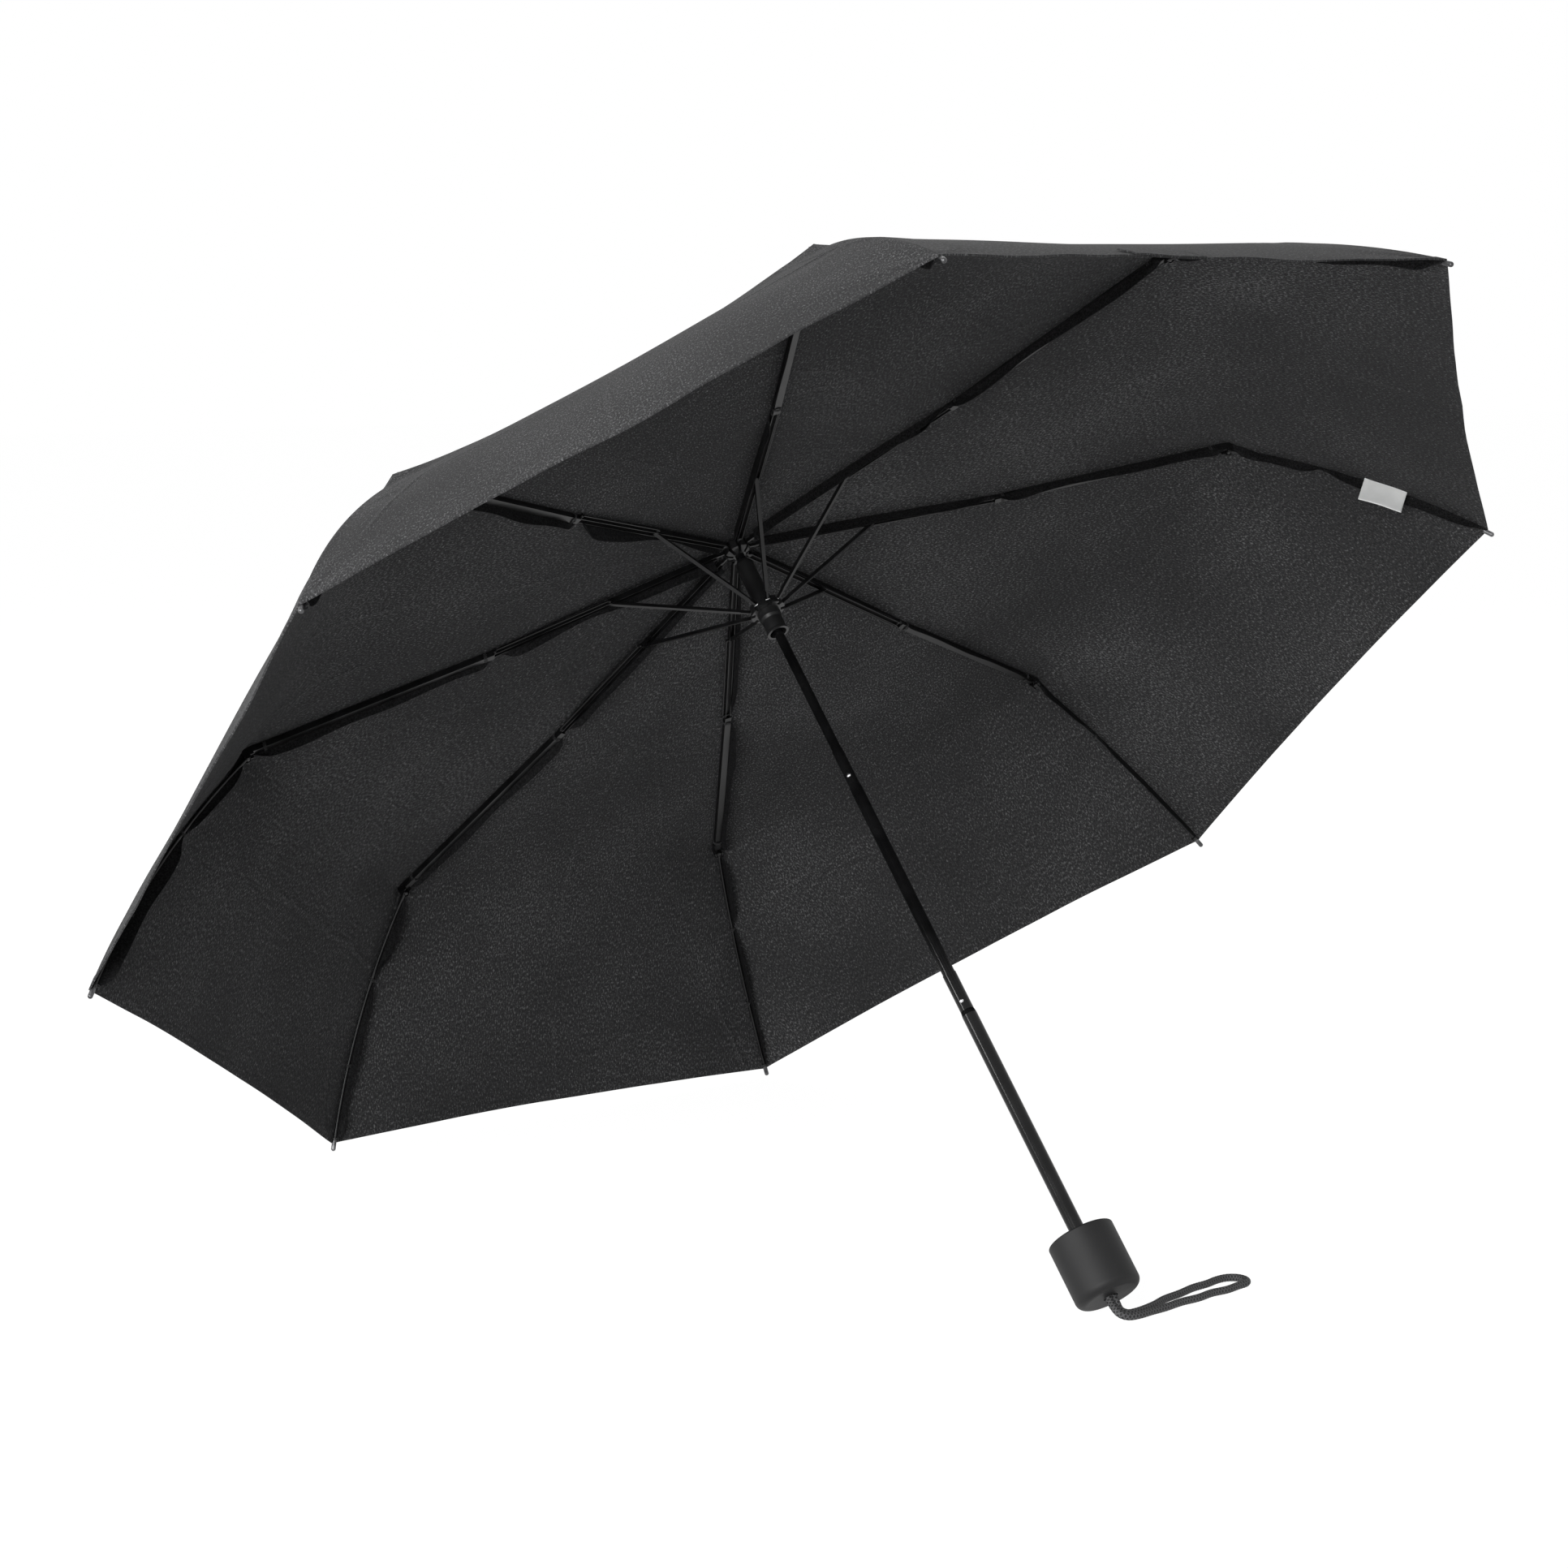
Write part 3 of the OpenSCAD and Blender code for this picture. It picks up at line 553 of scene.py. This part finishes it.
def makeWristLoop():
    size = wristLoop
    heights = [(size["gripEnd"] + depth) * mm for depth in size["holeDepths"]]
    lead = [upright(0, size["strandShift"], height) for height in heights]
    home = [upright(0, -size["strandShift"], height) for height in reversed(heights)]
    lay = [Vector((x, y, size["layHeight"] + lift)) * mm for x, y, lift in size["floorRoute"]]
    path, length = throughPoints([*lead, *lay, *home], size["step"])

    def braidRadius(turn, run):
        # strands cross over and under, half of them running each way round
        strands = size["strands"] // 2
        spiral = 2 * math.pi * run / size["braidPitch"]
        waves = [abs(math.cos(strands * (turn + way * spiral) / 2)) ** size["braidSharp"]
                 for way in (1, -1)]
        return size["diameter"] / 2 * (1 - size["braidRise"] + size["braidRise"] * max(waves))

    bm = bmesh.new()
    sweep(bm, path, size["sides"], braidRadius)
    piece = addPiece("wrist_loop_cord", bm, braid)
    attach(piece, "grip")
    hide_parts("wrist_loop")
    [tuple(spot) for spot in path[::4]] + [tuple(path[-1])]
    print("wrist loop:", round(length, 4), "m of cord")


makeWristLoop()

# Canopy: one curved surface, cut at the ribs' pivots so that it folds with them
canopy = {
    "lift": 2.35 * mm,          # cloth's middle above the line of the ribs' pivots
    "endLift": 2.15 * mm,       # and above an end rib's axis
    "crownRadius": 3.6 * mm, "crownLift": 4.85 * mm, "camber": 1.2 * mm,
    "midFall": 5,               # how far a middle rib falls, in degrees
    "endLength": 183.5 * mm, "endFall": 30.4, "endBend": 22.0, "endStart": 0.11, "endReach": 0.978,
    "kneeReach": 2.6 * mm,
    "hemDip": 4 * mm, "slack": 42 * mm, "thickness": 0.32 * mm,
    "rowStep": 5.2 * mm, "halfColumns": 17, "crowding": 1.45,
    "pucker": 0.9 * mm, "puckerReach": 34 * mm, "puckers": 7, "tieCalm": 7 * mm, "seamCalm": 5 * mm,
    "wave": 2.4 * mm, "waveScale": 9, "hemWave": 1.8 * mm, "hemWaveReach": 22 * mm,
    "hemWaves": 9.0, "tieShare": 0.36,
    "crumpled": 0.03,           # share of its width that the cloth keeps when the frame is closed
    "foldArc": 0.35,            # share of a round about the shaft that the folds follow between ribs
    "edgeLoss": 0.2929,         # 1 - cos 45 degrees
    "middleBow": 0.1716,        # the round's bow halfway between ribs
}
chord = 2 * math.sin(math.pi / 8)       # from one rib to the next, for each metre from the shaft


def profilePoints():
    # line of the cloth over one rib, as distance from the shaft and height
    top, knee, tipKnee = (pivotOf(f"{kind}_rib_1_hinge") for kind in ("top", "middle", "end"))
    size = canopy
    fallTop = math.atan2(top.y - knee.y, knee.x - top.x)
    start = Vector((size["crownRadius"], top.y + size["crownLift"]))
    firstKnee = knee + Vector((math.sin(fallTop), math.cos(fallTop))) * size["lift"]
    low = math.radians(size["midFall"])
    along, rise = Vector((math.cos(low), -math.sin(low))), Vector((math.sin(low), math.cos(low)))
    midLength = (tipKnee - knee).dot(along)
    secondKnee = knee + along * (midLength + size["kneeReach"]) + rise * size["lift"]
    radius = size["endLength"] / math.radians(size["endBend"])

    def bow(share):
        turn = math.radians(size["endBend"]) * share
        fall = math.radians(size["endFall"])
        out = Vector((math.cos(fall), -math.sin(fall))) * (radius * math.sin(turn))
        drop = Vector((-math.sin(fall), -math.cos(fall))) * (radius * (1 - math.cos(turn)))
        here = fall + turn
        return tipKnee + out + drop + Vector((math.sin(here), math.cos(here))) * size["endLift"]

    def straight(a, b, count, camber=0.0):
        rises = [camber * math.sin(math.pi * i / count) for i in range(count)]
        return [a.lerp(b, i / count) + Vector((0, rise)) for i, rise in enumerate(rises)]

    many, few = 60, 8
    first, bows = size["endStart"], 56
    points = straight(start, firstKnee, many, size["camber"]) + straight(firstKnee, secondKnee, many)
    points += straight(secondKnee, bow(first), few)
    points += [bow(first + (size["endReach"] - first) * i / bows) for i in range(bows + 1)]
    return points, firstKnee, secondKnee


class Line:
    # a plane curve that is read by distance along it, and runs on straight past its ends
    def __init__(self, points):
        run = runOf(points)
        self.length = run[-1]
        count = int(self.length / (2 * mm))
        self.step = self.length / count
        self.spots, i = [], 0
        for n in range(count + 1):
            want = self.step * n
            while i < len(points) - 2 and run[i + 1] < want:
                i += 1
            gap = max(run[i + 1] - run[i], 1e-9)
            self.spots.append(points[i].lerp(points[i + 1], min(1, (want - run[i]) / gap)))

    def at(self, distance):
        n = distance / self.step
        i = min(max(int(math.floor(n)), 0), len(self.spots) - 2)
        return self.spots[i] + (self.spots[i + 1] - self.spots[i]) * (n - i)

    def smoothed(self, width):
        reach = int(3 * width / self.step)
        weights = [math.exp(-0.5 * (i * self.step / width) ** 2) for i in range(-reach, reach + 1)]
        total = sum(weights)
        spots = []
        for n in range(len(self.spots)):
            spot = Vector((0, 0))
            for i, weight in zip(range(n - reach, n + reach + 1), weights):
                spot += self.at(i * self.step) * weight
            spots.append(spot / total)
        soft = Line.__new__(Line)
        soft.step, soft.spots, soft.length = self.step, spots, self.length
        return soft


seamPoints, firstKnee, secondKnee = profilePoints()
seam = Line(seamPoints)
slackSeam = seam.smoothed(canopy["slack"])
firstFold = min(range(len(seam.spots)), key=lambda i: (seam.spots[i] - firstKnee).length) * seam.step
secondFold = min(range(len(seam.spots)), key=lambda i: (seam.spots[i] - secondKnee).length) * seam.step
spans = {"top": (0, firstFold), "middle": (firstFold, secondFold), "end": (secondFold, seam.length)}
foldScale = canopy["middleBow"] * canopy["foldArc"]
foldReach = [(0, 0), (firstFold, firstKnee.x * foldScale), (secondFold, secondKnee.x * foldScale),
             (seam.length, 0)]
ties = [firstFold, secondFold, secondFold + (seam.length - secondFold) * canopy["tieShare"], seam.length]


def plainSpot(gore, v, distance):
    # a point of the gore between ribs gore and gore + 1: v of the way across, that far from the crown
    bulge = 4 * v * (1 - v)
    reach = distance - canopy["hemDip"] * bulge * (max(distance, 0) / seam.length) ** 4
    spot, slack = seam.at(reach), slackSeam.at(reach)
    start, end, middle = ribTurn(gore), ribTurn(gore + 1), ribTurn(gore + 0.5)
    sag = (slack - spot) * bulge
    x = spot.x * (math.cos(start) * (1 - v) + math.cos(end) * v) + sag.x * math.cos(middle)
    y = spot.x * (math.sin(start) * (1 - v) + math.sin(end) * v) + sag.x * math.sin(middle)
    return upright(x, y, spot.y + sag.y)


def clothSpot(rib, t, distance):
    # t runs from -0.5 to 0.5 across the cloth that hangs from one rib, between the middles of its gores
    gore, v = (rib, t) if t >= 0 else (rib - 1, 1 + t)
    spot = plainSpot(gore, v, distance)
    step = 0.4 * mm
    ahead = plainSpot(gore, v, distance + step) - plainSpot(gore, v, distance - step)
    aside = plainSpot(gore, min(v + 0.002, 1.0), distance) - plainSpot(gore, max(v - 0.002, 0.0), distance)
    out = aside.cross(ahead)
    out = out.normalized() if out.length > 0 else upright(0, 0, 1)
    if out.dot(upright(0, 0, 1)) < 0:
        out = -out
    width = seam.at(distance).x * chord
    away = abs(t) * width
    bulge = 4 * v * (1 - v)
    calm = max(0.0, 1 - (2 * abs(t)) ** 2) * min(1.0, away / canopy["seamCalm"])
    lift = 0.0
    for n, tie in enumerate(ties):
        reach = math.hypot(away, distance - tie)
        turn = math.atan2(distance - tie, away)
        phase = 2.1 * n + 1.3 * (rib % 8) + (0.9 if t > 0 else 0.0)
        fade = math.exp(-reach / canopy["puckerReach"]) * reach / (reach + canopy["tieCalm"])
        lift += canopy["pucker"] * fade * math.sin(canopy["puckers"] * turn + phase) * calm
    lift += canopy["wave"] * noise.noise(
        spot * canopy["waveScale"] + Vector((gore % 8 * 3.7, 0, 0))) * bulge
    fromHem = max(seam.length - distance, 0)
    lift += canopy["hemWave"] * math.exp(-fromHem / canopy["hemWaveReach"]) * bulge * noise.noise(
        Vector((v * canopy["hemWaves"], gore % 8 * 5.1, 0.4)))
    return spot + out * lift, (v - 0.5) * width


def clothNormal(rib, t, distance):
    stepT, stepD = 0.004, 1.2 * mm
    if abs(t) < stepT:
        sides = [(t - stepT, t), (t, t + stepT)]
    else:
        sides = [(t - stepT, t + stepT)]
    total = Vector()
    for low, high in sides:
        # at the gore's middle the neighbour's cloth runs on the same surface
        aside = clothSpot(*across(rib, high), distance)[0] - clothSpot(*across(rib, low), distance)[0]
        ahead = clothSpot(rib, t, distance + stepD)[0] - clothSpot(rib, t, max(distance - stepD, 0))[0]
        total += aside.cross(ahead).normalized()
    total.normalize()
    return total if total.dot(upright(0, 0, 1)) > 0 else -total


def across(rib, t):
    if t > 0.5:
        return rib + 1, t - 1
    if t < -0.5:
        return rib - 1, t + 1
    return rib, t


def foldedRow(t, row):
    # rows near a fold bow out between the ribs, so that the fold closes onto the rib's pivot
    bow = (1 / (1 - canopy["edgeLoss"] * min(abs(t), 0.5)) - 1) / canopy["middleBow"]
    for (start, low), (end, high) in zip(foldReach, foldReach[1:]):
        if row <= end:
            return row + bow * (low + (high - low) * (row - start) / (end - start))
    return row


def clothSheet(rib, columns, rows, thickness, drop=0.0):
    # a grid of cloth at the given shares across and distances out, drop below the cloth's middle
    bm = bmesh.new()
    wrap = bm.loops.layers.uv.verify()
    seamGap = bm.verts.layers.float.new("seamGap")
    bmesh.ops.create_grid(bm, x_segments=len(columns) - 1, y_segments=len(rows) - 1, size=0.5)
    marks = {}
    for vert in bm.verts:
        i = round((vert.co.x + 0.5) * (len(columns) - 1))
        j = round((vert.co.y + 0.5) * (len(rows) - 1))
        marks[vert] = columns[i], rows[j], i, j
    cached = {}
    for vert, (column, row, i, j) in marks.items():
        t = column(row) if callable(column) else column
        row = foldedRow(t, row)
        normal = clothNormal(rib, t, row)
        spot, fromMiddle = clothSpot(rib, t, row)
        sink = drop(i, j) if callable(drop) else drop
        vert.co = spot - normal * sink
        vert[seamGap] = t * seam.at(row).x * chord
        cached[vert] = (normal, fromMiddle, row, t)
    bm.normal_update()
    bm.faces.ensure_lookup_table()
    middle = bm.faces[len(bm.faces) // 2]
    if middle.normal.dot(cached[middle.verts[0]][0]) < 0:
        bmesh.ops.reverse_faces(bm, faces=bm.faces)
    for face in bm.faces:
        centre = sum(cached[vert][3] for vert in face.verts) / len(face.verts)
        for loop in face.loops:
            _, fromMiddle, row, t = cached[loop.vert]
            if abs(t) < 1e-9 and centre < 0:
                fromMiddle = -fromMiddle
            loop[wrap].uv = (fromMiddle, row)
    normals = {tuple(round(c, 6) for c in vert.co): data[0] for vert, data in cached.items()}
    bmesh.ops.solidify(bm, geom=list(bm.faces), thickness=thickness)
    return bm, normals


def addCloth(name, sheet, material):
    bm, normals = sheet
    tree = kdtree.KDTree(len(normals))
    held = list(normals.items())
    for i, (place, _) in enumerate(held):
        tree.insert(place, i)
    tree.balance()
    bm.normal_update()
    custom = []
    for face in bm.faces:
        for loop in face.loops:
            normal = held[tree.find(loop.vert.co)[1]][1]
            share = face.normal.dot(normal)
            custom.append(normal if share > 0.6 else -normal if share < -0.6 else face.normal.copy())
    piece = addPiece(name, bm, material)
    piece.data.normals_split_custom_set(custom)
    return piece


def evenRows(start, end):
    count = max(2, math.ceil((end - start) / canopy["rowStep"]))
    return [start + (end - start) * i / count for i in range(count + 1)]


half = canopy["halfColumns"]
clothColumns = [math.copysign(0.5 * (abs(i) / half) ** canopy["crowding"], i)
                for i in range(-half, half + 1)]
hemLook = {"width": 6.5 * mm, "thickness": 1.0 * mm, "overhang": 0.5 * mm, "raise": 0.35 * mm}
finLook = {
    "width": 3 * mm, "thickness": 0.35 * mm, "standOff": 8 * mm, "inset": 2.2 * mm, "under": 0.5 * mm,
    "start": 14 * mm, "narrowest": 12 * mm,
    "pinch": 8 * mm, "gathered": 0.75, "ragged": 0.45,
}


def tangentOf(rib):
    turn = ribTurn(rib)
    return upright(-math.sin(turn), math.cos(turn), 0)


def foldWith(piece, rib, part):
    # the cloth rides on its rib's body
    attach(piece, f"{part}_rib_{rib}")
    tuple(tangentOf(rib))
    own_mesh(piece)


def sheetSize(columns, rows):
    wide = seam.at(foldedRow(0.5, rows[-1])).x * chord
    return wide * (columns[-1] - columns[0]), foldedRow(0.5, rows[-1]) - rows[0]


def makeFin(rib, part, rows):
    # seam allowance that stands along the inside of the rib's seam
    finRows = [row for row in rows if row > finLook["start"]]
    shares = [1.0, 0.66, 0.33, 0.0]

    def spread(row):
        # the ties gather the seam's edge to the rib
        near = min(abs(row - tie) for tie in ties)
        loose = 1 - finLook["gathered"] * math.exp(-(near / finLook["pinch"]) ** 2)
        return loose * (1 + finLook["ragged"] * noise.noise(Vector((row * 24, rib * 2.3, 0.5))))

    def finColumn(share):
        def column(row):
            width = max(seam.at(row).x * chord, finLook["narrowest"])
            return -(finLook["inset"] + share * finLook["width"] * spread(row)) / width
        return column

    def finDrop(i, j):
        return finLook["under"] + finLook["standOff"] * shares[i] * spread(finRows[j])

    sheet = clothSheet(rib, [finColumn(share) for share in shares], finRows, finLook["thickness"], finDrop)
    # the fin takes the darker copy of the cloth, painted shade
    fin = addCloth(f"seam_{part}_{rib}", sheet, finPaintedShade)
    foldWith(fin, rib, part)
    return fin


def makeHem(rib):
    width = hemLook["width"]
    rows = [seam.length - width, seam.length - width / 2, seam.length + hemLook["overhang"]]
    sheet = clothSheet(rib, clothColumns, rows, hemLook["thickness"], -hemLook["raise"])
    hem = addCloth(f"hem_{rib}", sheet, cloth)
    foldWith(hem, rib, "end")
    return hem


def makeCanopy():
    for rib in ribNumbers:
        for part, (start, end) in spans.items():
            rows = evenRows(start, end)
            sheet = clothSheet(rib, clothColumns, rows, canopy["thickness"])
            piece = addCloth(f"cloth_{part}_{rib}", sheet, cloth)
            area = sum(face.area for face in piece.data.polygons) / 2
            foldWith(piece, rib, part)
            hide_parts("canopy")
            extras = [makeFin(rib, part, rows)]
            if part == "end":
                extras.append(makeHem(rib))
            wide, long = sheetSize(clothColumns, rows)
            wide * 1.02
            long * 1.01
            min(area, wide * long * 1.02)
    print("canopy: 8 gores on 24 pieces, seam", round(seam.length, 4), "m long")


makeCanopy()

# Closing strap on the outside of the gore between ribs 8 and 1
strapLook = {
    "inner": 17 * mm, "outer": 2.8 * mm, "from": 0.362, "to": 0.5, "seat": 1.35 * mm, "thickness": 0.8 * mm,
    "columns": 14, "rows": 5,
}


def makeStrap():
    size = strapLook
    wide, long = size["to"] - size["from"], size["inner"] + size["outer"]
    columns = [size["from"] + wide * i / size["columns"] for i in range(size["columns"] + 1)]
    rows = [seam.length - size["inner"] + long * i / size["rows"] for i in range(size["rows"] + 1)]
    sheet = clothSheet(8, columns, rows, size["thickness"], -size["seat"])
    piece = addCloth("closing_strap_cloth", sheet, cloth)
    foldWith(piece, 8, "end")
    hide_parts("closing_strap")
    wide *= seam.at(seam.length).x * chord
    print("closing strap made")


makeStrap()

# Sewn-in tag: a bare strip of white tape that stands on the seam of rib 2
tagLook = {
    "share": 0.58,              # how far out along the end rib's bow
    "width": 29.5 * mm, "length": 21 * mm, "lift": -1 * mm, "thickness": 0.28 * mm,
    "aside": 5.8 * mm, "curl": 2.4 * mm, "ripple": 0.5 * mm, "columns": 22, "rows": 16,
}


def makeTag():
    size = tagLook
    knee = pivotOf("end_rib_2_hinge")
    radius = canopy["endLength"] / math.radians(canopy["endBend"])
    turn = math.radians(canopy["endBend"]) * size["share"]
    fall = math.radians(canopy["endFall"])
    centre = (knee + Vector((math.cos(fall), -math.sin(fall))) * (radius * math.sin(turn))
              + Vector((-math.sin(fall), -math.cos(fall))) * (radius * (1 - math.cos(turn))))
    here = fall + turn
    out, inward = Vector((math.cos(here), -math.sin(here))), Vector((-math.sin(here), -math.cos(here)))
    ribWay = ribTurn(2)
    bm = bmesh.new()
    wrap = bm.loops.layers.uv.verify()
    bmesh.ops.create_grid(bm, x_segments=size["columns"], y_segments=size["rows"], size=0.5)
    for vert in bm.verts:
        u, v = vert.co.x, vert.co.y + 0.5
        for face in vert.link_faces:
            for loop in face.loops:
                if loop.vert is vert:
                    loop[wrap].uv = (u * size["width"], v * size["length"])
        place = centre + out * (u * size["width"]) + inward * (size["lift"] + v * size["length"])
        ripple = size["ripple"] * math.sin(5 * u + 2 * v)
        bend = size["aside"] + size["curl"] * v * v * (1 + 0.7 * u) + ripple
        vert.co = upright(place.x * math.cos(ribWay) + bend * math.sin(ribWay),
                          place.x * math.sin(ribWay) - bend * math.cos(ribWay), place.y)
    bmesh.ops.solidify(bm, geom=list(bm.faces), thickness=size["thickness"])
    bmesh.ops.recalc_face_normals(bm, faces=bm.faces)
    piece = addPiece("care_tag_tape", bm, tape)
    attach(piece, "end_rib_2")
    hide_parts("care_tag")
    print("tag made")


makeTag()

# Sewing threads that tie the cloth to the ribs
threadLook = {
    "radius": 0.22 * mm, "turns": 3, "steps": 12, "pitch": 0.7 * mm, "gap": 0.2 * mm,
    # each tie's place, its reach to each side and its depth. The place is a distance past the inner fold
    # or before the outer one, a share of the end rib's length, or a distance before the hem
    "middleTies": [(7 * mm, 3.2 * mm, 5.4 * mm), (-16 * mm, 3.2 * mm, 5.4 * mm)],
    "endTies": [(0.36, 1.7 * mm, 4.6 * mm), (0.7, 1.7 * mm, 4.6 * mm)],
    "tipTies": [(-3 * mm, 2.1 * mm, 5.4 * mm)],
}


def tieRun(rib, distance, reach, depth):
    # a few turns of thread round the rib and through its seam
    size, run = threadLook, []
    base, _ = clothSpot(rib, 0, distance)
    way = (clothSpot(rib, 0, distance + mm)[0] - clothSpot(rib, 0, distance - mm)[0]).normalized()
    out, side = clothNormal(rib, 0, distance), tangentOf(rib)
    for i in range(size["steps"] * size["turns"] + 1):
        turn = 2 * math.pi * i / size["steps"]
        shift = size["pitch"] * (i / size["steps"] - size["turns"] / 2)
        run.append(base + way * shift + side * (reach * math.cos(turn)) + out * (
            depth / 2 * math.sin(turn) - depth / 2 - size["gap"]))
    return run


def makeThreads():
    size, (endStart, endStop) = threadLook, spans["end"]
    for rib in ribNumbers:
        middle = [tieRun(rib, (firstFold if place > 0 else secondFold) + place, reach, depth)
                  for place, reach, depth in size["middleTies"]]
        end = [tieRun(rib, endStart + (endStop - endStart) * share, reach, depth)
               for share, reach, depth in size["endTies"]]
        tip = [tieRun(rib, endStop + place, reach, depth) for place, reach, depth in size["tipTies"]]
        thread(f"thread_middle_{rib}", f"middle_rib_{rib}", middle, size["radius"], braid)
        thread(f"thread_end_{rib}", f"end_rib_{rib}", end, size["radius"], braid)
        thread(f"thread_tip_{rib}", f"end_rib_{rib}", tip, size["radius"], braid)
    print("threads made")


makeThreads()
